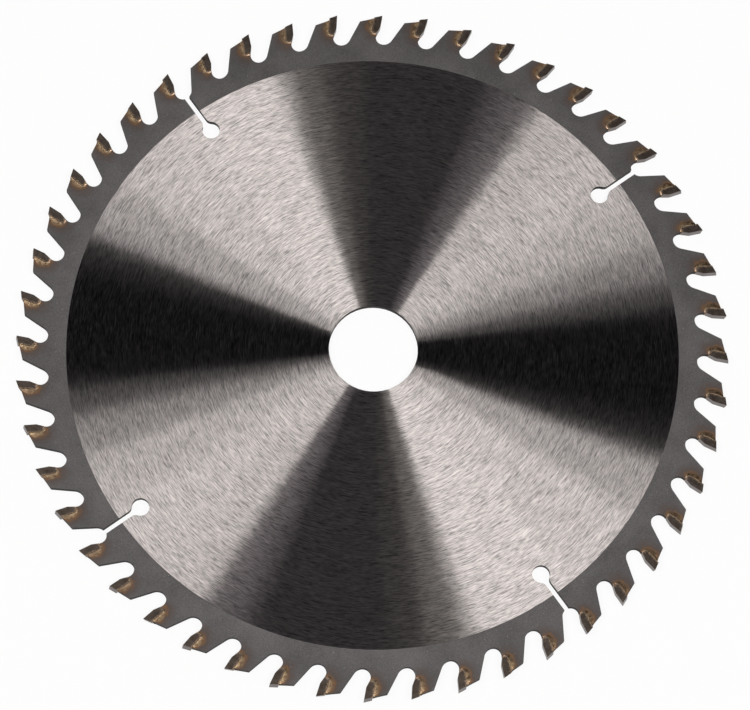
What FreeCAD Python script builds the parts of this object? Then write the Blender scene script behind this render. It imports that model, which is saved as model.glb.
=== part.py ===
import FreeCAD, Part
import math
import os

import Sketcher

# A circular saw blade of 160 mm with a 20 mm bore and 48 carbide-tipped teeth.
# It lies flat: the arbor axis is Z, the middle of the plate's thickness is Z = 0, and the side seen is the
# upper one. Seen from above it cuts clockwise. The centre lines of the gullets stand at whole multiples of
# the tooth pitch, so one of them lies on the Y axis. Each tooth stands just behind its gullet.

SIZES = (
    ("cut_radius", 80.0, "circle that the cutting edges run on"),
    ("bore_radius", 10.0, "arbor bore"),
    ("tooth_count", 48, "teeth"),
    ("plate_thickness", 1.6, "ground middle of the plate"),
    ("rim_width", 11.4, "blasted rim, from the cutting circle in to the edge of the ground middle"),
    ("skin", 0.02, "height of the blasted rim above the ground middle, each side"),
    ("slot_count", 4, "expansion slots"),
    ("slot_width", 1.25, "expansion slot"),
    ("slot_reach", 9.43, "from the bottom of a gullet in to the centre of the hole that ends a slot"),
    ("slot_hole_radius", 2.0, "hole that ends a slot"),
    ("slot_flare", 1.5, "radius where a slot's walls run into its hole"),
    ("gullet_depth", 7.27, "below the cutting circle"),
    ("gullet_radius", 1.78, "gullet's hollow below the tip"),
    ("gullet_start", 24.0, "how far the hollow climbs towards the tip, degrees above its centre"),
    ("edge_lag", 0.375, "cutting edge behind the centre line of its gullet"),
    ("heel_drop", 1.6, "tooth's heel below the cutting circle"),
    ("heel_lag", 4.03, "tooth's heel behind the centre line of its gullet, degrees"),
    ("back_angle", 25.1, "tooth's back against that centre line, degrees"),
    ("relief", 15.0, "fall of the tooth's top behind the edge, degrees"),
    ("hook", 8.27, "forward lean of the cutting face, degrees"),
    ("kerf", 2.4, "width of a tip across its two side corners"),
    ("tip_thickness", 1.75, "tip, square to its cutting face"),
    ("tip_length", 4.72, "tip, along its cutting face"),
    ("tip_land", 3.03, "ground part of the cutting face"),
    ("tip_setback", 0.55, "how far the face leans back at the tip's foot"),
    ("tip_chamfer", 0.35, "corner taken off the tip's foot, against the seat"),
    ("bevel", 7.4, "sideways slope of a tip's top, degrees"),
    ("side_relief", 1.1, "side of a tip, inwards down the face, degrees"),
    ("back_relief", 1.4, "side of a tip, inwards to its back, degrees"),
    ("braze_gap", 0.12, "seam of braze between a tip and its seat"),
    ("bead_spread", 1.1, "how far the braze's fillet reaches over the plate behind a tip"),
    ("bead_foot_spread", 0.4, "the same below a tip"),
    ("bead_rise", 0.2, "height of that fillet against the tip"),
    ("overrun", 1.0, "how far an outline that cuts runs past the metal"),
)

FACE = "(<plate_thickness> / 2 + <skin>)"
GROUND_RADIUS = "(<cut_radius> - <rim_width>)"
HEEL_RADIUS = "(<cut_radius> - <heel_drop>)"
GULLET_FLOOR = "(<cut_radius> - <gullet_depth>)"
SLOT_END = "(<cut_radius> - <gullet_depth> - <slot_reach>)"
EDGE_HEIGHT = "sqrt(<cut_radius>^2 - <edge_lag>^2)"


def make_sheet(doc):
    """Put the driving sizes into the document's spreadsheet, one row each, with its meaning beside it."""
    sheet = doc.addObject("Spreadsheet::Sheet", "Sizes")
    for row, (name, value, meaning) in enumerate(SIZES, start=1):
        sheet.set("A%d" % row, name)
        sheet.set("B%d" % row, repr(value))
        sheet.set("C%d" % row, meaning)
        sheet.setAlias("B%d" % row, name)
    doc.recompute()
    return sheet


def size(text):
    """Write a formula of sizes as the document reads it: each size's name gets the sheet's name before it."""
    for name in sorted((row[0] for row in SIZES), key=len, reverse=True):
        text = text.replace("<%s>" % name, "Sizes.%s" % name)
    return text


def number(owner, text):
    """The present value of a formula of sizes."""
    value = owner.evalExpression(size(text))
    return float(getattr(value, "Value", value))


def new_body(doc, label):
    body = doc.addObject("PartDesign::Body", label)
    body.Label = label
    body.AllowCompound = True
    return body


def origin_part(body, role):
    return [part for part in body.Origin.OriginFeatures if part.Role == role][0]


def new_sketch(body, name, role, across="0", up="0", out="0", turn="0"):
    """A sketch on one of the body's own planes, moved and turned in that plane by formulas of sizes."""
    sketch = body.newObject("Sketcher::SketchObject", name)
    sketch.AttachmentSupport = [(origin_part(body, role), "")]
    sketch.MapMode = "FlatFace"
    sketch.setExpression(".AttachmentOffset.Base.x", size(across) + " * 1mm")
    sketch.setExpression(".AttachmentOffset.Base.y", size(up) + " * 1mm")
    sketch.setExpression(".AttachmentOffset.Base.z", size(out) + " * 1mm")
    sketch.setExpression(".AttachmentOffset.Rotation.Angle", size(turn) + " * 1deg")
    body.Document.recompute()
    return sketch


def seat_sketch(body, name):
    """A sketch whose origin is the cutting edge of the tooth at the Y axis, with its own Y up the face."""
    return new_sketch(body, name, "XY_Plane", across="-<edge_lag>", up=EDGE_HEIGHT, turn="-<hook>")


def hold(sketch, kind, name, formula, *places):
    """Add one dimension and tie it to a formula of sizes."""
    index = sketch.addConstraint(Sketcher.Constraint(kind, *places, number(sketch, formula)))
    sketch.renameConstraint(index, name)
    sketch.setExpression("Constraints." + name, size(formula))


def hold_point(sketch, name, geometry, end, across, up):
    hold(sketch, "DistanceX", name + "_x", across, -1, 1, geometry, end)
    hold(sketch, "DistanceY", name + "_y", up, -1, 1, geometry, end)


def outline(sketch, corners):
    """Close an outline of straight sides through named corners, each with its two places as formulas."""
    places = [(number(sketch, across), number(sketch, up)) for name, across, up in corners]
    sides = [sketch.addGeometry(line_of(places[index - 1], place)) for index, place in enumerate(places)]
    for index, (name, across, up) in enumerate(corners):
        leaving = sides[(index + 1) % len(sides)]
        sketch.addConstraint(Sketcher.Constraint("Coincident", sides[index], 2, leaving, 1))
        hold_point(sketch, name, leaving, 1, across, up)


def arc_of(centre, radius, first, second):
    circle = Part.Circle(FreeCAD.Vector(centre[0], centre[1], 0), FreeCAD.Vector(0, 0, 1), radius)
    return Part.ArcOfCircle(circle, math.radians(first), math.radians(second))


def line_of(start, end):
    return Part.LineSegment(FreeCAD.Vector(start[0], start[1], 0), FreeCAD.Vector(end[0], end[1], 0))


def cut_both_ways(body, name, sketch, depth):
    """Cut a sketch out of the body, as deep to one side of its plane as to the other."""
    pocket = body.newObject("PartDesign::Pocket", name)
    pocket.Profile = sketch
    pocket.SideType = "Symmetric"
    pocket.setExpression("Length", size(depth) + " * 1mm")
    return pocket


def repeat_round(body, name, count, features=None, axis=None):
    """Repeat some features, or else all that the body holds so far, evenly round the arbor axis."""
    body.Document.recompute()
    pattern = body.newObject("PartDesign::PolarPattern", name)
    pattern.Axis = axis or (origin_part(body, "Z_Axis"), [""])
    pattern.Angle = 360
    pattern.setExpression("Occurrences", size(count))
    if features:
        pattern.Originals = features
    else:
        pattern.TransformMode = "Whole shape"
    body.Tip = pattern
    return pattern


def blank(body):
    """The bored disc. Its middle is ground a little thinner than the blasted rim, on both sides."""
    section = new_sketch(body, "BlankSection", "XZ_Plane")
    middle = "<plate_thickness> / 2"
    outline(section, (
        ("bore_low", "<bore_radius>", "-" + middle),
        ("ground_low", GROUND_RADIUS, "-" + middle),
        ("skin_low", GROUND_RADIUS, "-" + FACE),
        ("rim_low", "<cut_radius>", "-" + FACE),
        ("rim_high", "<cut_radius>", FACE),
        ("skin_high", GROUND_RADIUS, FACE),
        ("ground_high", GROUND_RADIUS, middle),
        ("bore_high", "<bore_radius>", middle),
    ))
    disc = body.newObject("PartDesign::Revolution", "Blank")
    disc.Profile = section
    disc.ReferenceAxis = (section, ["V_Axis"])
    disc.Angle = 360


def on_circle(radius, lead):
    """The two places of a point at some radius, so many degrees ahead of the Y axis."""
    return "%s * sin(%s)" % (radius, lead), "%s * cos(%s)" % (radius, lead)


def gullet_outline(body, **place):
    """All that is cut away in one pitch: what lies above a tooth's top, and the gullet in front of it."""
    sketch = new_sketch(body, "GulletOutline", "XY_Plane", **place)
    next_tooth = "(360 / <tooth_count> - <heel_lag>)"
    outside = "(<cut_radius> + 2 * <overrun>)"
    heel = on_circle(HEEL_RADIUS, "-<heel_lag>")
    next_heel = on_circle(HEEL_RADIUS, next_tooth)
    far_left = on_circle(outside, "-<heel_lag>")
    far_right = on_circle(outside, next_tooth)
    start = (heel[0] + " - <overrun> * cos(<relief>)", heel[1] + " - <overrun> * sin(<relief>)")
    front_x = "-<gullet_radius> * cos(<gullet_start>)"
    front = (front_x, "%s + (%s - (%s)) * tan(<relief>)" % (heel[1], front_x, heel[0]))
    back_slope = "90 - <back_angle> - 360 / <tooth_count>"

    def at(formula):
        return number(sketch, formula)

    def point(places):
        return at(places[0]), at(places[1])

    low = at(GULLET_FLOOR)
    small = at("<gullet_radius>")
    climb = at("<gullet_start>")
    hollow = (at(front_x), low + small + small * math.sin(math.radians(climb)))
    corner = point(next_heel)
    slope = at(back_slope)
    along = (math.cos(math.radians(slope)), math.sin(math.radians(slope)))
    # The hollow under the back is the arc through the gullet's lowest point that the back is tangent to.
    large = (corner[0] * along[1] - (corner[1] - low) * along[0]) / (1 - along[0])
    touch = (large * along[1], low + large - large * along[0])

    top = sketch.addGeometry(line_of(point(start), point(front)))
    side = sketch.addGeometry(line_of(point(front), hollow))
    under_tip = sketch.addGeometry(arc_of((0, low + small), small, 180 - climb, 270))
    under_back = sketch.addGeometry(arc_of((0, low + large), large, 270, 270 + slope))
    back = sketch.addGeometry(line_of(touch, corner))
    rise = sketch.addGeometry(line_of(corner, point(far_right)))
    over = sketch.addGeometry(line_of(point(far_right), point(far_left)))
    fall = sketch.addGeometry(line_of(point(far_left), point(start)))
    for first, second in ((top, side), (side, under_tip), (under_tip, under_back), (back, rise),
                          (rise, over), (over, fall), (fall, top)):
        sketch.addConstraint(Sketcher.Constraint("Coincident", first, 2, second, 1))
    sketch.addConstraint(Sketcher.Constraint("Tangent", under_back, 2, back, 1))
    hold_point(sketch, "start", top, 1, *start)
    hold_point(sketch, "front", side, 1, *front)
    hold_point(sketch, "centre", under_tip, 3, "0", GULLET_FLOOR + " + <gullet_radius>")
    hold_point(sketch, "lowest", under_tip, 2, "0", GULLET_FLOOR)
    hold(sketch, "DistanceX", "hollow_x", front_x, -1, 1, under_tip, 1)
    hold(sketch, "DistanceX", "back_centre_x", "0", -1, 1, under_back, 3)
    hold(sketch, "Angle", "slope", back_slope, back)
    hold_point(sketch, "heel", rise, 1, *next_heel)
    hold_point(sketch, "far_right", over, 1, *far_right)
    hold_point(sketch, "far_left", fall, 1, *far_left)
    return sketch


SEAT_CORNERS = (
    ("seat_top", "-(<tip_thickness> + <braze_gap>)", "<overrun>"),
    ("seat_foot", "-(<tip_thickness> + <braze_gap>)", "-(<tip_length> + <braze_gap>)"),
    ("seat_front", "0", "-(<tip_length> + <braze_gap>)"),
    ("seat_mouth", "0", "<overrun>"),
)

TIP_CORNERS = (
    ("tip_edge", "0", "<overrun>"),
    ("tip_land", "0", "-<tip_land>"),
    ("tip_foot", "-<tip_setback>", "-<tip_length>"),
    ("tip_heel", "-(<tip_thickness> - <tip_chamfer>)", "-<tip_length>"),
    ("tip_back_low", "-<tip_thickness>", "-(<tip_length> - <tip_chamfer>)"),
    ("tip_back_high", "-<tip_thickness>", "<overrun>"),
)


def seat(body):
    """The notch in the front of a tooth, wider than the tip by the seam of braze."""
    sketch = seat_sketch(body, "SeatOutline")
    outline(sketch, SEAT_CORNERS)
    return cut_both_ways(body, "Seat", sketch, "2 * <plate_thickness>")


def slot(body):
    """A radial expansion slot from the bottom of a gullet to a round hole, its walls flared into the hole."""
    sketch = new_sketch(body, "SlotOutline", "XY_Plane")
    half = number(sketch, "<slot_width> / 2")
    hole = number(sketch, "<slot_hole_radius>")
    flare = number(sketch, "<slot_flare>")
    end = number(sketch, SLOT_END)
    mouth_height = GULLET_FLOOR + " + <gullet_radius>"
    mouth = number(sketch, mouth_height)
    aside = half + flare
    above = math.sqrt((hole + flare) ** 2 - aside ** 2)
    lean = math.degrees(math.atan2(above, aside))

    left = sketch.addGeometry(line_of((-half, mouth), (-half, end + above)))
    left_flare = sketch.addGeometry(arc_of((-aside, end + above), flare, -lean, 0))
    round_end = sketch.addGeometry(arc_of((0, end), hole, 180 - lean, 360 + lean))
    right_flare = sketch.addGeometry(arc_of((aside, end + above), flare, 180, 180 + lean))
    right = sketch.addGeometry(line_of((half, end + above), (half, mouth)))
    across = sketch.addGeometry(line_of((half, mouth), (-half, mouth)))
    sketch.addConstraint(Sketcher.Constraint("Tangent", left, 2, left_flare, 2))
    sketch.addConstraint(Sketcher.Constraint("Tangent", left_flare, 1, round_end, 1))
    sketch.addConstraint(Sketcher.Constraint("Tangent", round_end, 2, right_flare, 2))
    sketch.addConstraint(Sketcher.Constraint("Tangent", right_flare, 1, right, 1))
    sketch.addConstraint(Sketcher.Constraint("Coincident", right, 2, across, 1))
    sketch.addConstraint(Sketcher.Constraint("Coincident", across, 2, left, 1))
    sketch.addConstraint(Sketcher.Constraint("Vertical", left))
    sketch.addConstraint(Sketcher.Constraint("Vertical", right))
    hold_point(sketch, "mouth_left", left, 1, "-<slot_width> / 2", mouth_height)
    hold_point(sketch, "mouth_right", right, 2, "<slot_width> / 2", mouth_height)
    hold_point(sketch, "hole", round_end, 3, "0", SLOT_END)
    hold(sketch, "Radius", "hole_r", "<slot_hole_radius>", round_end)
    hold(sketch, "Radius", "left_r", "<slot_flare>", left_flare)
    hold(sketch, "Radius", "right_r", "<slot_flare>", right_flare)
    return cut_both_ways(body, "Slot", sketch, "2 * <plate_thickness>")


def make_plate(doc):
    """The blade's one-piece steel plate."""
    body = new_body(doc, "blade_plate")
    blank(body)
    first_gullet = cut_both_ways(body, "Gullet", gullet_outline(body), "2 * <plate_thickness>")
    first_seat = seat(body)
    repeat_round(body, "Teeth", "<tooth_count>", [first_gullet, first_seat])
    first_slot = slot(body)
    repeat_round(body, "Slots", "<slot_count>", [first_slot])
    return body


def grind(body, name, section, corners, direction, depth):
    """Grind one flat on a tip: the section beyond the flat, drawn square to the face, swept backwards."""
    sketch = new_sketch(body, section, "YZ_Plane")
    outline(sketch, corners)
    pocket = body.newObject("PartDesign::Pocket", name)
    pocket.Profile = sketch
    pocket.UseCustomVector = True
    for letter, formula in zip("xyz", direction):
        pocket.setExpression("Direction." + letter, size(formula))
    pocket.setExpression("Length", size(depth) + " * 1mm")
    return pocket


def place_at_edge(body, index):
    """Set a body's origin on the middle of one tooth's cutting edge, its own Y up the cutting face."""
    turn = "%d * 360deg / <tooth_count>" % index
    lag = "asin(<edge_lag> / <cut_radius>)"
    body.setExpression(".Placement.Base.x", size("-<cut_radius> * sin(%s + %s) * 1mm" % (turn, lag)))
    body.setExpression(".Placement.Base.y", size("<cut_radius> * cos(%s + %s) * 1mm" % (turn, lag)))
    body.setExpression(".Placement.Rotation.Angle", size("%s - <hook> * 1deg" % turn))


def make_tip(doc, index):
    """One carbide tip, its origin at the middle of the edge: sides relieved, top sloped to one side."""
    body = new_body(doc, "tip_%02d" % (index + 1))
    sketch = new_sketch(body, "TipOutline", "XY_Plane")
    outline(sketch, TIP_CORNERS)
    stick = body.newObject("PartDesign::Pad", "Stick")
    stick.Profile = sketch
    stick.SideType = "Symmetric"
    stick.setExpression("Length", size("<kerf>") + " * 1mm")

    beyond = "(<tip_length> + <overrun>)"
    depth = "2 * <tip_thickness>"
    for name, sign, inwards in (("Upper", "", "-"), ("Lower", "-", "")):
        grind(body, name + "Side", name + "SideSection", (
            ("above_high", "<overrun>", "%s<kerf>" % sign),
            ("above_low", "<overrun>", "%s(<kerf> / 2 + <overrun> * tan(<side_relief>))" % sign),
            ("foot_low", "-" + beyond, "%s(<kerf> / 2 - %s * tan(<side_relief>))" % (sign, beyond)),
            ("foot_high", "-" + beyond, "%s<kerf>" % sign),
        ), ("-1", "0", inwards + "tan(<back_relief>)"), depth)

    high, low = ("", "-") if index % 2 == 0 else ("-", "")
    grind(body, "Top", "TopSection", (
        ("low_edge", "-1.5 * <kerf> * tan(<bevel>)", low + "<kerf>"),
        ("high_edge", "0.5 * <kerf> * tan(<bevel>)", high + "<kerf>"),
        ("high_sky", "3 * <overrun>", high + "<kerf>"),
        ("low_sky", "3 * <overrun>", low + "<kerf>"),
    ), ("-cos(<relief> + <hook>)", "-sin(<relief> + <hook>)", "0"), depth)
    body.Tip = body.Group[-1]
    place_at_edge(body, index)
    return body


def slope(body, name, role, foot_place, spread):
    """Slope the bead from the tip down to both faces of the plate, along one edge of the tip."""
    sketch = new_sketch(body, name + "Section", role)
    reach = "(<braze_gap> + %s)" % spread
    near = "(%s + <bead_rise> * (%s + %s) / %s)" % (FACE, foot_place, reach, reach)
    far = "(%s - <bead_rise> * %s / %s)" % (FACE, spread, reach)
    out = "-(%s + <braze_gap> + 2 * %s)" % (foot_place, spread)
    for side, sign in (("upper", ""), ("lower", "-")):
        outline(sketch, (
            (side + "_near", "0", sign + near),
            (side + "_near_top", "0", sign + "2 * <kerf>"),
            (side + "_far_top", out, sign + "2 * <kerf>"),
            (side + "_far", out, sign + far),
        ))
    return cut_both_ways(body, name, sketch, "4 * <tip_length>")


def make_braze(doc):
    """The beads of braze: each fills the seam between tip and seat and is a sloped fillet on both faces."""
    body = new_body(doc, "braze_beads")
    block = new_sketch(body, "BeadBlock", "XY_Plane")
    back = "-(<tip_thickness> + <braze_gap> + 1.5 * <bead_spread>)"
    foot = "-(<tip_length> + <braze_gap> + 1.5 * <bead_foot_spread>)"
    outline(block, (
        ("block_top", back, "<overrun>"),
        ("block_foot", back, foot),
        ("block_front", "0", foot),
        ("block_mouth", "0", "<overrun>"),
    ))
    stock = body.newObject("PartDesign::Pad", "Bead")
    stock.Profile = block
    stock.SideType = "Symmetric"
    stock.setExpression("Length", size("2 * (%s + <bead_rise>) * 1mm" % FACE))

    rim = new_sketch(body, "RimAroundSeat", "XY_Plane")
    outline(rim, SEAT_CORNERS)
    around = "2 * <tip_length>"
    outline(rim, (
        ("rim_back_low", "-" + around, "-" + around),
        ("rim_front_low", around, "-" + around),
        ("rim_front_high", around, around),
        ("rim_back_high", "-" + around, around),
    ))
    cut_both_ways(body, "TakenByRim", rim, "2 * " + FACE)
    slope(body, "SlopeBehind", "XZ_Plane", "<tip_thickness>", "<bead_spread>")
    slope(body, "SlopeBelow", "YZ_Plane", "<tip_length>", "<bead_foot_spread>")
    tip = new_sketch(body, "TipOutline", "XY_Plane")
    outline(tip, TIP_CORNERS)
    cut_both_ways(body, "TakenByTip", tip, "2 * <kerf>")
    axis_across = "(<edge_lag> * cos(<hook>) + %s * sin(<hook>))" % EDGE_HEIGHT
    axis_up = "(<edge_lag> * sin(<hook>) - %s * cos(<hook>))" % EDGE_HEIGHT
    tooth = gullet_outline(body, across=axis_across, up=axis_up, turn="<hook>")
    cut_both_ways(body, "TrimmedToTooth", tooth, "2 * <kerf>")
    repeat_round(body, "Beads", "<tooth_count>", axis=(tooth, ["N_Axis"]))
    place_at_edge(body, 0)
    return body


def write_part(body):
    """Write one node's file, once its solids are known to be whole."""
    shape = body.Shape
    if shape.isNull() or not shape.isValid() or not shape.Solids:
        raise RuntimeError("%s has no sound shape" % body.Label)
    shape.exportStep(os.path.join("parts", body.Label + ".step"))
    print("%-12s %3d solids, volume %.1f" % (body.Label, len(shape.Solids), shape.Volume))


doc = FreeCAD.newDocument("saw_blade")
sheet = make_sheet(doc)
bodies = [make_plate(doc)]
for index in range(round(number(sheet, "<tooth_count>"))):
    bodies.append(make_tip(doc, index))
bodies.append(make_braze(doc))
doc.recompute()

for thing in doc.Objects:
    if "Invalid" in thing.State or "Error" in thing.State:
        raise RuntimeError("%s did not build" % thing.Label)

os.makedirs("parts", exist_ok=True)
for body in bodies:
    write_part(body)
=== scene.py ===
import math

import bpy
from mathutils import Matrix, Vector


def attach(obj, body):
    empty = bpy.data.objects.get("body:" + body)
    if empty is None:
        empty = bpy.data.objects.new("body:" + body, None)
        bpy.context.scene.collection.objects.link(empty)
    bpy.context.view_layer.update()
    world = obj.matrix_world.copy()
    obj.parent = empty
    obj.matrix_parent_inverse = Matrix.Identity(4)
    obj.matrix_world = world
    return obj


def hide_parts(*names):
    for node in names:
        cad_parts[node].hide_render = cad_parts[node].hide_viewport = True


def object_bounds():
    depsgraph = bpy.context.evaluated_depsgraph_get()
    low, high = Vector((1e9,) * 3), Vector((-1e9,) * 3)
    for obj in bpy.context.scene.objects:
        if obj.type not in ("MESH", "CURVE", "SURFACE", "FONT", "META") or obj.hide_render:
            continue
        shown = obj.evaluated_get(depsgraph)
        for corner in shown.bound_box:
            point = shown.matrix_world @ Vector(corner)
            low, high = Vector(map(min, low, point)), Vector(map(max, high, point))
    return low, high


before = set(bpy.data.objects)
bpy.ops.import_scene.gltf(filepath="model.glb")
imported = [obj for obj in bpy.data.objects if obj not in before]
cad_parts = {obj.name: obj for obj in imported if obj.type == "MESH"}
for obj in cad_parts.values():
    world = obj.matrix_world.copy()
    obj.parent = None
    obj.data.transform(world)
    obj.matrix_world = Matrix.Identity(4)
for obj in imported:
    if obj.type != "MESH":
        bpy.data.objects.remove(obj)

# The saw blade lies flat with its arbor axis on Z. Lengths in this file are metres unless a name ends
# in _MM, and materials work in millimetres from the object's own coordinates.
MM = 0.001
cad_low, cad_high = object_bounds()


# The camera looks down on the blade from beyond its lower edge, with a long lens. Angles round the blade
# are those seen in the photograph, for the lights too: 0 is to the right and 90 is up. The blade's own
# X axis points 35.4 degrees up from the right.
PHOTO_TURN = math.radians(35.426)
CAMERA_TILT = math.radians(16.425)
CAMERA_ROLL = math.radians(-7.559)
CAMERA_DISTANCE = 806.4 * MM
CAMERA_ASIDE = -0.54 * MM
CAMERA_UP = 1.17 * MM
LENS_MM = 172.77
SENSOR_MM = 36.0
CLIP_START = 0.01


def place_camera():
    data = bpy.data.cameras.new("photo_camera")
    data.lens = LENS_MM
    data.sensor_width = SENSOR_MM
    data.clip_start = CLIP_START
    camera = bpy.data.objects.new("photo_camera", data)
    bpy.context.scene.collection.objects.link(camera)
    seen = (
        Matrix.Rotation(CAMERA_ROLL, 4, "Z")
        @ Matrix.Translation((CAMERA_ASIDE, CAMERA_UP, -CAMERA_DISTANCE))
        @ Matrix.Rotation(-CAMERA_TILT, 4, "X")
        @ Matrix.Rotation(PHOTO_TURN - CAMERA_ROLL, 4, "Z")
    )
    camera.matrix_world = seen.inverted()
    bpy.context.scene.camera = camera


place_camera()


# The studio: white card under the blade, and softboxes on three sides in a dark room. Round scratches
# show a lamp where they run square to the line halfway between it and the camera, hence the bow tie.
# Each box is a name, the two angles between which the blade shows it, its level and its colour.
FLOOR_SIZE = 12.0
FLOOR_WHITE = (0.86, 0.86, 0.86, 1)
FLOOR_ROUGH = 0.9
FLOOR_OWN_LIGHT = 0.92
ROOM_LEVEL = 0.0175
ROOM_COLOUR = (0.9, 0.88, 1.0, 1)
BOX_DISTANCE = 1.5
BOX_SLOPES = (0.28, 0.44)
LAMP_WHITE = (1.0, 0.965, 0.95)
LAMP_ROSE = (1.0, 0.93, 0.97)
LAMP_YELLOW = (1.0, 0.96, 0.9)
SOFTBOXES = (
    ("left_box_tail", 188.5, 194, 1.45, LAMP_WHITE),
    ("left_box_outer", 194, 202, 5.3, LAMP_WHITE),
    ("left_box_middle", 202, 213, 10.1, LAMP_WHITE),
    ("left_box_inner", 213, 226, 12.3, LAMP_WHITE),
    ("left_box_end", 226, 236.7, 11.2, LAMP_WHITE),
    ("left_box_edge", 236.7, 243.5, 2.1, LAMP_ROSE),
    ("left_box_fringe", 243.5, 247.5, 0.95, LAMP_ROSE),
    ("low_fill", 247.5, 280, 0.29, LAMP_ROSE),
    ("right_box_edge", 280, 288, 1.45, LAMP_YELLOW),
    ("right_box_inner", 288, 313, 11.6, LAMP_WHITE),
    ("right_box_middle", 313, 326, 10.6, LAMP_WHITE),
    ("right_box_outer", 326, 337.2, 7.0, LAMP_WHITE),
    ("right_box_tail", 337.2, 342, 0.2, LAMP_WHITE),
    ("upper_fill", 62, 92, 0.27, LAMP_ROSE),
    ("upper_box_fringe", 92, 98, 0.65, LAMP_YELLOW),
    ("upper_box_edge", 98, 108, 1.1, LAMP_YELLOW),
    ("upper_box_inner", 108, 133, 4.4, LAMP_WHITE),
    ("upper_box_middle", 133, 146, 3.2, LAMP_WHITE),
    ("upper_box_outer", 146, 153, 2.1, LAMP_WHITE),
    ("upper_box_end", 153, 158.5, 1.5, LAMP_WHITE),
    ("upper_box_tail", 158.5, 165, 0.22, LAMP_WHITE),
)


def add(tree, kind, inputs=None, **settings):
    """Put a node into a tree, set its properties, and fill or link its inputs."""
    made = tree.nodes.new(kind)
    for name, value in settings.items():
        setattr(made, name, value)
    for key, value in (inputs or {}).items():
        if isinstance(value, bpy.types.NodeSocket):
            tree.links.new(value, made.inputs[key])
        else:
            made.inputs[key].default_value = value
    return made


def calc(tree, operation, *values, clamp=False):
    """One step of arithmetic on numbers and other nodes' outputs."""
    made = add(tree, "ShaderNodeMath", dict(enumerate(values)), operation=operation, use_clamp=clamp)
    return made.outputs[0]


def new_material(name):
    """A material with a Principled shader, and its output node."""
    material = bpy.data.materials.new(name)
    material.use_nodes = True
    tree = material.node_tree
    tree.nodes.clear()
    shader = tree.nodes.new("ShaderNodeBsdfPrincipled")
    output = add(tree, "ShaderNodeOutputMaterial", {"Surface": shader.outputs[0]})
    return material, tree, shader, output


def floor_card():
    """White card that glows where it is looked at, so that the shadow on it stays faint."""
    material, tree, shader, output = new_material("floor_card")
    shader.inputs["Base Color"].default_value = FLOOR_WHITE
    shader.inputs["Roughness"].default_value = FLOOR_ROUGH
    shader.inputs["Specular IOR Level"].default_value = 0.0
    path = add(tree, "ShaderNodeLightPath").outputs
    seen = calc(tree, "MAXIMUM", path["Is Camera Ray"], path["Is Glossy Ray"])
    seen = calc(tree, "MAXIMUM", seen, path["Is Transmission Ray"])
    share = calc(tree, "MULTIPLY", seen, FLOOR_OWN_LIGHT)
    glow = add(tree, "ShaderNodeEmission", {"Color": (1, 1, 1, 1), "Strength": 1.0})
    mixed = add(tree, "ShaderNodeMixShader", {0: share, 1: shader.outputs[0], 2: glow.outputs[0]})
    tree.links.new(mixed.outputs[0], output.inputs["Surface"])
    return material


def lay_floor():
    half = FLOOR_SIZE / 2
    level = cad_low.z
    corners = [(-half, -half, level), (half, -half, level), (half, half, level), (-half, half, level)]
    mesh = bpy.data.meshes.new("floor")
    mesh.from_pydata(corners, [], [(0, 1, 2, 3)])
    mesh.materials.append(floor_card())
    floor = bpy.data.objects.new("floor", mesh)
    bpy.context.scene.collection.objects.link(floor)


def lamp_way(photo_angle, slope):
    """Which way a lamp lies that faces of that slope show the camera at that angle round the blade."""
    turn = math.radians(photo_angle) - PHOTO_TURN
    halfway = Vector((slope * math.cos(turn), slope * math.sin(turn), 1)).normalized()
    camera_way = bpy.context.scene.camera.matrix_world.translation.normalized()
    return 2 * halfway.dot(camera_way) * halfway - camera_way


def hang_softbox(name, first, last, level, colour):
    """A flat box that faces the blade and fills those angles, each patch of it as bright as its level."""
    low, high = BOX_SLOPES
    slope = (low + high) / 2
    angle = (first + last) / 2
    way = lamp_way(angle, slope)
    upright = (lamp_way(angle, high) - lamp_way(angle, low)) * BOX_DISTANCE
    sideways = (lamp_way(last, slope) - lamp_way(first, slope)) * BOX_DISTANCE
    data = bpy.data.lights.new(name, "AREA")
    data.shape = "RECTANGLE"
    data.size = sideways.length
    data.size_y = upright.length
    data.energy = level * math.pi * data.size * data.size_y
    data.color = colour
    box = bpy.data.objects.new(name, data)
    bpy.context.scene.collection.objects.link(box)
    across = upright.cross(way).normalized()
    turned = Matrix((across, way.cross(across), way)).transposed().to_4x4()
    box.matrix_world = Matrix.Translation(way * BOX_DISTANCE) @ turned


def darken_room():
    world = bpy.data.worlds.new("room")
    bpy.context.scene.world = world
    world.use_nodes = True
    backdrop = world.node_tree.nodes["Background"]
    backdrop.inputs["Color"].default_value = ROOM_COLOUR
    backdrop.inputs["Strength"].default_value = ROOM_LEVEL


lay_floor()
darken_room()
for softbox in SOFTBOXES:
    hang_softbox(*softbox)
bpy.context.scene.view_settings.view_transform = "Standard"


# The plate: one sheet of hardened steel, cut out with a beam. Its middle was ground on a turning table,
# which left fine round scratches, and the rim that the wheel didn't reach was blasted matt. The heat of
# brazing coloured the rim behind each tip.
TOOTH_COUNT = 48
PITCH = math.tau / TOOTH_COUNT
CUT_RADIUS_MM = 80.0
HOOK = math.radians(8.27)
EDGE_LAG_MM = 0.375
AHEAD_OF_EDGE = 0.25

# The ground disc. Scratches are given by length and width.
GROUND_EDGE_MM = (68.56, 68.64)
GROUND_STEEL = (0.93, 0.874, 0.854, 1)
GROUND_SCRATCH = (0.22, 0.209, 0.203, 1)
GROUND_ROUGH = (0.285, 0.305)
GROUND_STRETCH = 0.88
FINE_SCRATCH_MM = (1.65, 0.14)
COARSE_SCRATCH_MM = (3.9, 0.27)
WANDERING_SCRATCH_MM = (1.9, 0.2)
FINE_SHARE = 0.62
SCRATCH_DETAIL = 2.0
STREAK_LEVELS = (0.37, 0.69)
WANDER = 0.07
TORN_SHARE = 0.12

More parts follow.
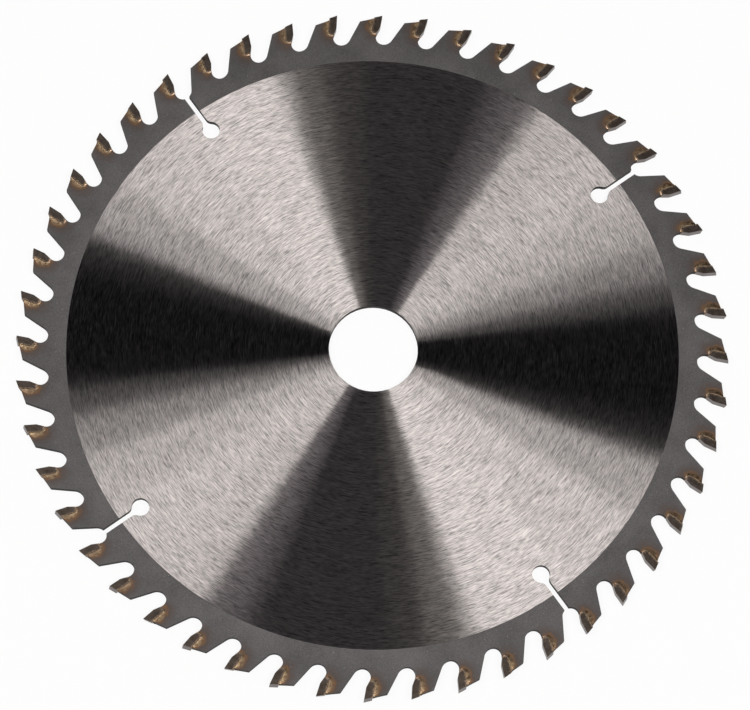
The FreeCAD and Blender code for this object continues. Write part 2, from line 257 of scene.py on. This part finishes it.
# The blasted rim, and the painted shade that darkens it towards its teeth.
BLASTED_STEEL = (0.183, 0.176, 0.177, 1)
BLASTED_DARK_AND_SHADE = (0.091, 0.087, 0.088, 1)
BRIGHT_SPECK = (0.49, 0.475, 0.46, 1)
BLASTED_ROUGH = (0.56, 0.64)
GRAIN_PER_MM = 3.4
GRAIN_SHARE = 0.6
CLOUDS_PER_MM = 0.09
SPECKS_PER_MM = 2.2
SPECK_SHARE = 0.4
TOOTH_PAINTED_SHADE_MM = (70.0, 75.5)
TOOTH_PAINTED_SHADE = 0.35
PIT_STRENGTH = 0.4
PIT_DEPTH = 0.02 * MM

# The stain of heat: an oval seen from the tip's edge, back along the tooth and down towards the bore.
HEAT_BROWN = (0.105, 0.07, 0.05, 1)
HEAT_ORANGE = (0.24, 0.13, 0.06, 1)
BROWN_SHARE = 0.72
ORANGE_SHARE = 0.7
STAIN_BACK_MM = 1.5
STAIN_DOWN_MM = 3.1
STAIN_HALF_WIDTH_MM = 2.1
STAIN_HALF_LENGTH_MM = 2.9
STAIN_CORE = 0.35
STAIN_REACH = 1.25
STAIN_RAGGED = 0.9

# The walls that the beam cut.
CUT_WALL = (0.085, 0.08, 0.077, 1)
CUT_WALL_DARK = (0.04, 0.038, 0.037, 1)
BEAM_LINES_PER_MM = 9.0
CUT_ROUGHER = 0.2


def spot_mm(tree):
    """The place on the object in millimetres."""
    place = add(tree, "ShaderNodeTexCoord").outputs["Object"]
    return add(tree, "ShaderNodeVectorMath", {0: place, "Scale": 1 / MM}, operation="SCALE").outputs[0]


def parts_of(tree, vector):
    parts = add(tree, "ShaderNodeSeparateXYZ", {0: vector}).outputs
    return parts["X"], parts["Y"], parts["Z"]


def joined(tree, x, y, z):
    return add(tree, "ShaderNodeCombineXYZ", {0: x, 1: y, 2: z}).outputs[0]


def length_of(tree, x, y):
    return calc(tree, "SQRT", calc(tree, "ADD", calc(tree, "MULTIPLY", x, x), calc(tree, "MULTIPLY", y, y)))


def noise(tree, vector, scale, detail=2.0, rough=0.5):
    """Smooth noise between about 0.2 and 0.8."""
    values = {"Vector": vector, "Scale": scale, "Detail": detail, "Roughness": rough}
    return add(tree, "ShaderNodeTexNoise", values).outputs["Fac"]


def ramp(tree, value, low, high, to_low=0.0, to_high=1.0):
    """Carry a value from one range to another and stop at its ends."""
    values = {"Value": value, "From Min": low, "From Max": high, "To Min": to_low, "To Max": to_high}
    return add(tree, "ShaderNodeMapRange", values).outputs["Result"]


def blend(tree, share, first, second):
    """Mix two colours."""
    mixed = add(tree, "ShaderNodeMix", {"Factor": share, 6: first, 7: second}, data_type="RGBA")
    return mixed.outputs[2]


def upright_faces(tree):
    """1 where the surface stands upright, as cut walls do, and 0 where it faces up or down."""
    normal = add(tree, "ShaderNodeNewGeometry").outputs["Normal"]
    return ramp(tree, calc(tree, "ABSOLUTE", parts_of(tree, normal)[2]), 0.4, 0.6, 1.0, 0.0)


def seat_group():
    """Where a point lies in its own tooth, seen from the tip's edge, and how much heat coloured it."""
    group = bpy.data.node_groups.new("around_the_seat", "ShaderNodeTree")
    for name, value in (("Reach", 1.0), ("Ragged", 0.5)):
        socket = group.interface.new_socket(name, in_out="INPUT", socket_type="NodeSocketFloat")
        socket.default_value = value
    for name in ("Back", "Down", "Stain"):
        group.interface.new_socket(name, in_out="OUTPUT", socket_type="NodeSocketFloat")
    given = group.nodes.new("NodeGroupInput").outputs
    spot = spot_mm(group)
    x, y = parts_of(group, spot)[:2]
    radius = length_of(group, x, y)

    # Angles run counter-clockwise from the X axis, and each edge stands just after a whole pitch.
    pitches = calc(group, "DIVIDE", calc(group, "ADD", calc(group, "ARCTAN2", y, x), math.tau), PITCH)
    number = calc(group, "FLOOR", calc(group, "ADD", pitches, AHEAD_OF_EDGE))
    own = calc(group, "MULTIPLY", calc(group, "SUBTRACT", pitches, number), PITCH)
    aside = calc(group, "SUBTRACT", calc(group, "MULTIPLY", radius, calc(group, "SINE", own)), EDGE_LAG_MM)
    inward = calc(group, "MULTIPLY", radius, calc(group, "COSINE", own))
    fall = calc(group, "SUBTRACT", CUT_RADIUS_MM, inward)
    aside_back = calc(group, "MULTIPLY", aside, math.cos(HOOK))
    aside_down = calc(group, "MULTIPLY", aside, math.sin(HOOK))
    fall_back = calc(group, "MULTIPLY", fall, math.sin(HOOK))
    fall_down = calc(group, "MULTIPLY", fall, math.cos(HOOK))
    back = calc(group, "SUBTRACT", aside_back, fall_back)
    down = calc(group, "ADD", fall_down, aside_down)

    # The stain is an oval behind and below the tip, its edge broken up by noise.
    across = calc(group, "DIVIDE", calc(group, "SUBTRACT", back, STAIN_BACK_MM), STAIN_HALF_WIDTH_MM)
    along = calc(group, "DIVIDE", calc(group, "SUBTRACT", down, STAIN_DOWN_MM), STAIN_HALF_LENGTH_MM)
    broken = calc(group, "SUBTRACT", noise(group, spot, 0.75, 3.0, 0.6), 0.5)
    broken = calc(group, "MULTIPLY", broken, given["Ragged"])
    oval = calc(group, "ADD", length_of(group, across, along), broken)
    edge = calc(group, "ADD", STAIN_CORE, given["Reach"])
    stain = calc(group, "SUBTRACT", edge, oval, clamp=True)
    add(group, "NodeGroupOutput", {"Back": back, "Down": down, "Stain": stain})
    return group


def plate_steel(seats):
    """Ground and blasted steel in one material, parted at the edge of the ground disc."""
    material, tree, shader, output = new_material("plate_steel")
    spot = spot_mm(tree)
    x, y, z = parts_of(tree, spot)
    radius = length_of(tree, x, y)
    ground = ramp(tree, radius, *GROUND_EDGE_MM, 1.0, 0.0)
    wall = upright_faces(tree)

    # Scratches follow circles: the noise is stretched within the sheet and fine along the radius.
    def scratches(length_mm, width_mm, detail):
        along_x = calc(tree, "DIVIDE", x, length_mm)
        along_y = calc(tree, "DIVIDE", y, length_mm)
        place = joined(tree, along_x, along_y, calc(tree, "DIVIDE", radius, width_mm))
        return noise(tree, place, 1.0, detail, 0.6)

    fine = calc(tree, "MULTIPLY", scratches(*FINE_SCRATCH_MM, SCRATCH_DETAIL), FINE_SHARE)
    coarse = calc(tree, "MULTIPLY", scratches(*COARSE_SCRATCH_MM, SCRATCH_DETAIL), 1 - FINE_SHARE)
    streak = calc(tree, "ADD", fine, coarse)
    ground_colour = blend(tree, ramp(tree, streak, *STREAK_LEVELS), GROUND_SCRATCH, GROUND_STEEL)

    # The ground face throws light widely across its scratches and hardly at all along them. Each scratch
    # runs a little off its circle, which frays the edges of the bright sectors, and the brightest are torn
    # and throw a little light every way.
    east = calc(tree, "DIVIDE", x, radius)
    north = calc(tree, "DIVIDE", y, radius)
    off = calc(tree, "SUBTRACT", scratches(*WANDERING_SCRATCH_MM, 0.0), 0.5)
    off = calc(tree, "MULTIPLY", off, WANDER)
    run_x = calc(tree, "SUBTRACT", calc(tree, "MULTIPLY", east, off), north)
    run_y = calc(tree, "ADD", east, calc(tree, "MULTIPLY", north, off))
    brushed = add(tree, "ShaderNodeBsdfAnisotropic", {"Color": ground_colour, "Anisotropy": GROUND_STRETCH})
    tree.links.new(ramp(tree, streak, 0.35, 0.65, *GROUND_ROUGH), brushed.inputs["Roughness"])
    tree.links.new(joined(tree, run_x, run_y, 0.0), brushed.inputs["Tangent"])
    torn = ramp(tree, streak, 0.5, 0.66, 0.0, TORN_SHARE)
    face = calc(tree, "SUBTRACT", calc(tree, "SUBTRACT", ground, wall), torn, clamp=True)
    mixed = add(tree, "ShaderNodeMixShader", {0: face, 1: shader.outputs[0], 2: brushed.outputs[0]})
    tree.links.new(mixed.outputs[0], output.inputs["Surface"])

    # The rim: blasted grain in slow clouds, a few bright specks, painted shade that makes it darker towards
    # the teeth, and the colours of heat at each seat.
    grain = noise(tree, spot, GRAIN_PER_MM, 2.0, 0.7)
    cloud = noise(tree, spot, CLOUDS_PER_MM, 3.0, 0.6)
    grain_part = calc(tree, "MULTIPLY", grain, GRAIN_SHARE)
    blast = calc(tree, "ADD", grain_part, calc(tree, "MULTIPLY", cloud, 1 - GRAIN_SHARE))
    colour = blend(tree, ramp(tree, blast, 0.35, 0.65), BLASTED_DARK_AND_SHADE, BLASTED_STEEL)
    speck = ramp(tree, noise(tree, spot, SPECKS_PER_MM, 1.0), 0.73, 0.79, 0.0, SPECK_SHARE)
    colour = blend(tree, speck, colour, BRIGHT_SPECK)
    # Painted shade: the rim's colour darkens towards the teeth.
    colour = blend(tree, ramp(tree, radius, *TOOTH_PAINTED_SHADE_MM, 0.0, TOOTH_PAINTED_SHADE), colour, BLASTED_DARK_AND_SHADE)
    near = add(tree, "ShaderNodeGroup", node_tree=seats)
    near.inputs["Reach"].default_value = STAIN_REACH
    near.inputs["Ragged"].default_value = STAIN_RAGGED
    heat = near.outputs["Stain"]
    colour = blend(tree, ramp(tree, heat, 0.0, 1.0, 0.0, BROWN_SHARE), colour, HEAT_BROWN)
    colour = blend(tree, ramp(tree, heat, 0.65, 1.0, 0.0, ORANGE_SHARE), colour, HEAT_ORANGE)

    # The cutting beam left fine lines across the thickness of the sheet.
    beam_x = calc(tree, "MULTIPLY", x, BEAM_LINES_PER_MM)
    beam_y = calc(tree, "MULTIPLY", y, BEAM_LINES_PER_MM)
    beam_spot = joined(tree, beam_x, beam_y, z)
    cut_colour = blend(tree, ramp(tree, noise(tree, beam_spot, 1.0), 0.3, 0.7), CUT_WALL_DARK, CUT_WALL)
    tree.links.new(blend(tree, wall, colour, cut_colour), shader.inputs["Base Color"])
    shader.inputs["Metallic"].default_value = 1.0
    rougher = calc(tree, "MULTIPLY", wall, CUT_ROUGHER)
    rough = calc(tree, "ADD", ramp(tree, grain, 0.3, 0.7, *BLASTED_ROUGH), rougher)
    tree.links.new(rough, shader.inputs["Roughness"])
    pits = add(tree, "ShaderNodeBump", {"Height": grain, "Strength": PIT_STRENGTH, "Distance": PIT_DEPTH})
    tree.links.new(pits.outputs[0], shader.inputs["Normal"])
    return material


def dress(node, material):
    """Give a CAD node its finish."""
    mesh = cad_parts[node].data
    mesh.materials.clear()
    mesh.materials.append(material)


seats = seat_group()
dress("blade_plate", plate_steel(seats))


# The tips: sintered carbide, pressed and ground on every face, so dark and smooth with a faint brown cast.
# They are brazed into their seats, and braze ran over the seam onto their backs and feet.
CARBIDE = (0.245, 0.202, 0.172, 1)
CARBIDE_DARK = (0.127, 0.098, 0.08, 1)
CARBIDE_EDGE = (0.09, 0.072, 0.068, 1)
CARBIDE_SMEAR = (0.43, 0.31, 0.2, 1)
CARBIDE_CLOUDS_PER_MM = 0.8
CARBIDE_ROUGH = (0.30, 0.37)
GRINDING_LINES_PER_MM = 9.0
EDGE_SHARE = 0.75
SMEAR_BACK_MM = (1.05, 1.85)
SMEAR_FOOT_MM = (3.7, 4.9)
SMEARS_PER_MM = 2.6
SMEAR_RAGGED = 1.8
SMEAR_SHARE = 0.75
SMEAR_ROUGHER = 0.08
SMEAR_HEIGHT = 1.5
CARBIDE_BUMP = 0.3
CARBIDE_DEPTH = 0.02 * MM


def ground_carbide(seats):
    material, tree, shader, output = new_material("ground_carbide")
    spot = spot_mm(tree)
    near = add(tree, "ShaderNodeGroup", node_tree=seats)
    back, down = near.outputs["Back"], near.outputs["Down"]
    lines = joined(tree, back, calc(tree, "MULTIPLY", down, GRINDING_LINES_PER_MM), parts_of(tree, spot)[2])
    lines = noise(tree, lines, 1.5)
    cloud = noise(tree, spot, CARBIDE_CLOUDS_PER_MM, 3.0, 0.6)
    colour = blend(tree, ramp(tree, cloud, 0.3, 0.7), CARBIDE_DARK, CARBIDE)

    # Braze smeared over the back and the foot, with a ragged edge. The upright faces are darker.
    broken = calc(tree, "SUBTRACT", noise(tree, spot, SMEARS_PER_MM, 3.0, 0.65), 0.5)
    broken = calc(tree, "MULTIPLY", broken, SMEAR_RAGGED)
    heel = calc(tree, "ADD", ramp(tree, back, *SMEAR_BACK_MM), broken, clamp=True)
    foot = calc(tree, "ADD", ramp(tree, down, *SMEAR_FOOT_MM), broken, clamp=True)
    smear = ramp(tree, calc(tree, "MAXIMUM", heel, foot), 0.45, 0.85)
    colour = blend(tree, calc(tree, "MULTIPLY", smear, SMEAR_SHARE), colour, CARBIDE_SMEAR)
    colour = blend(tree, calc(tree, "MULTIPLY", upright_faces(tree), EDGE_SHARE), colour, CARBIDE_EDGE)
    tree.links.new(colour, shader.inputs["Base Color"])
    shader.inputs["Metallic"].default_value = 1.0
    rougher = calc(tree, "MULTIPLY", smear, SMEAR_ROUGHER)
    rough = calc(tree, "ADD", ramp(tree, lines, 0.3, 0.7, *CARBIDE_ROUGH), rougher)
    tree.links.new(rough, shader.inputs["Roughness"])
    height = calc(tree, "ADD", lines, calc(tree, "MULTIPLY", smear, SMEAR_HEIGHT))
    relief = {"Height": height, "Strength": CARBIDE_BUMP, "Distance": CARBIDE_DEPTH}
    bump = add(tree, "ShaderNodeBump", relief)
    tree.links.new(bump.outputs[0], shader.inputs["Normal"])
    return material


carbide = ground_carbide(seats)
for tooth in range(1, TOOTH_COUNT + 1):
    dress("tip_%02d" % tooth, carbide)


# The braze: brass-coloured solder that ran through the seam round each tip and set as a crescent behind and
# below it, on both faces of the plate. It is bright brass near the seam, with a painted highlight along the
# seam itself, scaled brown at its rim, and no two crescents are alike.
PLATE_FACE_MM = 0.82
SEAM_MM = 0.12
TIP_BACK_MM = 1.75
TIP_FOOT_MM = 4.72
TIP_FRONT_MM = 0.58
TIP_CHAMFER_MM = 0.35
TOOTH_TOP_MM = 1.17
TOP_FALL = math.radians(15.0) + HOOK
TOP_SHARES = (0.0, 0.3)
CORNER_TURN = math.radians(90)
CORNER_SHARES = (0.55, 0.8)
FRONT_TURN = math.radians(15)
FRONT_SHARES = (0.9, 1.0)
BEAD_STEPS = 32
FLANK_STEPS = 9
FLANK_HOLLOW = 1.6
END_SPREAD_MM = 0.5
HUMP_SPREAD_MM = 0.95
FRONT_NARROWER_MM = 0.2
END_RISE_MM = 0.13
HUMP_RISE_MM = 0.06
RIM_SUNK_MM = 0.012
OVERLAP_MM = 0.02
BEAD_RAGGED_MM = 0.55
BEAD_LUMPS = 700.0
BEAD_SEED = 3.0
BRASS = (0.36, 0.262, 0.16, 1)
BRASS_DARK = (0.085, 0.056, 0.032, 1)
BRASS_PIT = (0.06, 0.04, 0.027, 1)
SCALE_BROWN = (0.185, 0.125, 0.085, 1)
COPPER_FOOT = (0.56, 0.41, 0.3, 1)
# Painted highlight: a light tan line along the seam.
SEAM_HIGHLIGHT_TAN = (0.52, 0.41, 0.29, 1)
PATCHES_PER_MM = 1.3
PITS_PER_MM = 5.0
SCALED_TEETH_PER_MM = 0.12
SCALED_TOOTH_SHARE = 0.6
SCALED_RIM_SHARE = 0.9
SEAM_HIGHLIGHT_SHARE = 0.5
FOOT_SHARE = 0.8
PIT_SHARE = 0.6
BRAZE_ROUGH = (0.36, 0.52)
BRAZE_BUMP = 0.35
BRAZE_DEPTH = 0.1 * MM


def along_seam(share):
    """A point on the tip's outline, from its back's top down round to the front of its foot, as (x, y)."""
    corners = (
        (-TIP_BACK_MM, -TOOTH_TOP_MM),
        (-TIP_BACK_MM, -TIP_FOOT_MM + TIP_CHAMFER_MM),
        (-TIP_BACK_MM + TIP_CHAMFER_MM, -TIP_FOOT_MM),
        (-TIP_FRONT_MM, -TIP_FOOT_MM),
    )
    lengths = [math.dist(corners[i], corners[i + 1]) for i in range(3)]
    left = share * sum(lengths)
    for index, length in enumerate(lengths):
        if left <= length or index == 2:
            part = left / length
            start, end = corners[index], corners[index + 1]
            return start[0] + (end[0] - start[0]) * part, start[1] + (end[1] - start[1]) * part
        left -= length


def eased(low, high, value):
    """0 below low, 1 above high, and a smooth step between."""
    part = min(max((value - low) / (high - low), 0.0), 1.0)
    return part * part * (3 - 2 * part)


def bead_section(share):
    """One cut across a bead: its place on the seam, the way it spreads, how far and how high."""
    turned = TOP_FALL * (1 - eased(*TOP_SHARES, share)) + CORNER_TURN * eased(*CORNER_SHARES, share)
    turned -= FRONT_TURN * eased(*FRONT_SHARES, share)
    way = (-math.cos(turned), -math.sin(turned))
    below = CORNER_SHARES[1]
    hump = math.sin(math.pi * min(share / below, 1.0))
    spread = END_SPREAD_MM + HUMP_SPREAD_MM * hump - FRONT_NARROWER_MM * eased(below, 1.0, share)
    rise = END_RISE_MM + HUMP_RISE_MM * hump
    return along_seam(share), way, spread, rise


def bead_ring(share, edge_x, edge_y):
    """The points of one cut, over the upper face and back along the lower, and how far out each lies."""
    place, way, spread, rise = bead_section(share)
    upper = []
    for flank in range(FLANK_STEPS + 1):
        part = flank / FLANK_STEPS
        height = PLATE_FACE_MM - RIM_SUNK_MM + rise * (1 - part) ** FLANK_HOLLOW
        upper.append((-OVERLAP_MM + (spread + OVERLAP_MM) * part, height, part))
    upper.append((SEAM_MM, PLATE_FACE_MM - OVERLAP_MM, 0.0))
    points = []
    outer = []
    for out, height, part in upper + [(out, -height, part) for out, height, part in reversed(upper)]:
        x = place[0] + way[0] * out
        y = place[1] + way[1] * out
        turned_x = edge_x + x * math.cos(HOOK) + y * math.sin(HOOK)
        turned_y = edge_y - x * math.sin(HOOK) + y * math.cos(HOOK)
        points.append((turned_x * MM, turned_y * MM, height * MM))
        outer.append(part)
    return points, outer


def bead_mesh():
    """The bead of the tooth at the Y axis: a skin over its cuts, closed at both ends."""
    edge_x, edge_y = -EDGE_LAG_MM, math.sqrt(CUT_RADIUS_MM**2 - EDGE_LAG_MM**2)
    points = []
    outer = []
    for step in range(BEAD_STEPS + 1):
        ring, parts = bead_ring(step / BEAD_STEPS, edge_x, edge_y)
        points += ring
        outer += parts
    count = 2 * (FLANK_STEPS + 2)
    faces = []
    for low in range(0, BEAD_STEPS * count, count):
        for index in range(count):
            after = (index + 1) % count
            faces.append((low + index, low + count + index, low + count + after, low + after))
    faces.append(tuple(range(count)))
    faces.append(tuple(reversed(range(BEAD_STEPS * count, (BEAD_STEPS + 1) * count))))
    mesh = bpy.data.meshes.new("bead")
    mesh.from_pydata(points, [], faces)
    mesh.shade_smooth()
    mesh.attributes.new("outer", "FLOAT", "POINT").data.foreach_set("value", outer)
    return mesh


def bead_repeats(material):
    """A tree that sets beads round the blade and pulls each one's edge about a little."""
    tree = bpy.data.node_groups.new("beads_round_the_blade", "GeometryNodeTree")
    face = tree.interface
    face.new_socket("Geometry", in_out="INPUT", socket_type="NodeSocketGeometry")
    for name, kind in (("Teeth", "Int"), ("Ragged", "Float"), ("Lumps", "Float"), ("Seed", "Float")):
        face.new_socket(name, in_out="INPUT", socket_type="NodeSocket" + kind)
    face.new_socket("Geometry", in_out="OUTPUT", socket_type="NodeSocketGeometry")
    given = tree.nodes.new("NodeGroupInput").outputs
    line = add(tree, "GeometryNodeMeshLine", {"Count": given["Teeth"], "Offset": (0, 0, 0)})
    index = add(tree, "GeometryNodeInputIndex").outputs[0]
    turn = calc(tree, "MULTIPLY", index, calc(tree, "DIVIDE", math.tau, given["Teeth"]))
    placing = {"Points": line.outputs[0], "Instance": given["Geometry"]}
    placing["Rotation"] = joined(tree, 0.0, 0.0, turn)
    placed = add(tree, "GeometryNodeInstanceOnPoints", placing)
    real = add(tree, "GeometryNodeRealizeInstances", {0: placed.outputs[0]})

    outer = add(tree, "GeometryNodeInputNamedAttribute", {"Name": "outer"}, data_type="FLOAT")
    spot = add(tree, "GeometryNodeInputPosition").outputs[0]
    lumpy = {"Vector": spot, "W": given["Seed"], "Scale": given["Lumps"], "Detail": 2.0}
    lumps = add(tree, "ShaderNodeTexNoise", lumpy, noise_dimensions="4D").outputs["Color"]
    pull = add(tree, "ShaderNodeVectorMath", {0: lumps, 1: (0.5, 0.5, 0.5)}, operation="SUBTRACT")
    flat = add(tree, "ShaderNodeVectorMath", {0: pull.outputs[0], 1: (1, 1, 0)}, operation="MULTIPLY")
    amount = calc(tree, "MULTIPLY", given["Ragged"], outer.outputs[0])
    offset = add(tree, "ShaderNodeVectorMath", {0: flat.outputs[0], "Scale": amount}, operation="SCALE")
    moved = add(tree, "GeometryNodeSetPosition", {"Geometry": real.outputs[0], "Offset": offset.outputs[0]})
    skin = add(tree, "GeometryNodeSetMaterial", {"Geometry": moved.outputs[0], "Material": material})
    add(tree, "NodeGroupOutput", {0: skin.outputs[0]})
    return tree


def brass_braze(seats):
    material, tree, shader, output = new_material("brass_braze")
    spot = spot_mm(tree)
    near = add(tree, "ShaderNodeGroup", node_tree=seats).outputs
    patch = noise(tree, spot, PATCHES_PER_MM, 3.0, 0.65)
    fine = noise(tree, spot, PITS_PER_MM, 2.0, 0.6)
    colour = blend(tree, ramp(tree, patch, 0.36, 0.66), BRASS_DARK, BRASS)
    outer = add(tree, "ShaderNodeAttribute", attribute_name="outer").outputs["Fac"]

    # Brown scale lies towards a bead's rim, and over the whole of some beads. A painted highlight makes the
    # seam lighter, and the corner below the tip's foot is lighter too, where the braze is thin.
    tooth_noise = noise(tree, spot, SCALED_TEETH_PER_MM, 1.0)
    tooth_scale = ramp(tree, tooth_noise, 0.45, 0.65, 0.0, SCALED_TOOTH_SHARE)
    scale = calc(tree, "MAXIMUM", ramp(tree, outer, 0.3, 1.0, 0.0, SCALED_RIM_SHARE), tooth_scale)
    colour = blend(tree, scale, colour, SCALE_BROWN)
    colour = blend(tree, ramp(tree, outer, 0.05, 0.2, SEAM_HIGHLIGHT_SHARE, 0.0), colour, SEAM_HIGHLIGHT_TAN)
    low = ramp(tree, near["Down"], 4.3, 4.9)
    foot = calc(tree, "MULTIPLY", low, ramp(tree, near["Back"], 0.9, 1.7, FOOT_SHARE, 0.0))
    colour = blend(tree, foot, colour, COPPER_FOOT)
    colour = blend(tree, ramp(tree, fine, 0.58, 0.75, 0.0, PIT_SHARE), colour, BRASS_PIT)
    tree.links.new(colour, shader.inputs["Base Color"])
    shader.inputs["Metallic"].default_value = 1.0
    tree.links.new(ramp(tree, fine, 0.3, 0.7, *BRAZE_ROUGH), shader.inputs["Roughness"])
    relief = {"Height": patch, "Strength": BRAZE_BUMP, "Distance": BRAZE_DEPTH}
    bump = add(tree, "ShaderNodeBump", relief)
    tree.links.new(bump.outputs[0], shader.inputs["Normal"])
    return material


def set_beads():
    """Run the tree once and keep its result as a plain mesh."""
    maker = bpy.data.objects.new("bead_maker", bead_mesh())
    bpy.context.scene.collection.objects.link(maker)
    tree = bead_repeats(brass_braze(seats))
    modifier = maker.modifiers.new("beads", "NODES")
    modifier.node_group = tree
    values = {"Teeth": TOOTH_COUNT, "Ragged": BEAD_RAGGED_MM * MM, "Lumps": BEAD_LUMPS, "Seed": BEAD_SEED}
    for item in tree.interface.items_tree:
        if item.item_type == "SOCKET" and item.name in values:
            modifier[item.identifier] = values[item.name]
    bpy.context.view_layer.update()
    graph = bpy.context.evaluated_depsgraph_get()
    mesh = bpy.data.meshes.new_from_object(maker.evaluated_get(graph))
    bpy.data.objects.remove(maker)
    beads = bpy.data.objects.new("braze_crescents", mesh)
    bpy.context.scene.collection.objects.link(beads)
    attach(beads, "root")
    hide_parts("braze_beads")


set_beads()
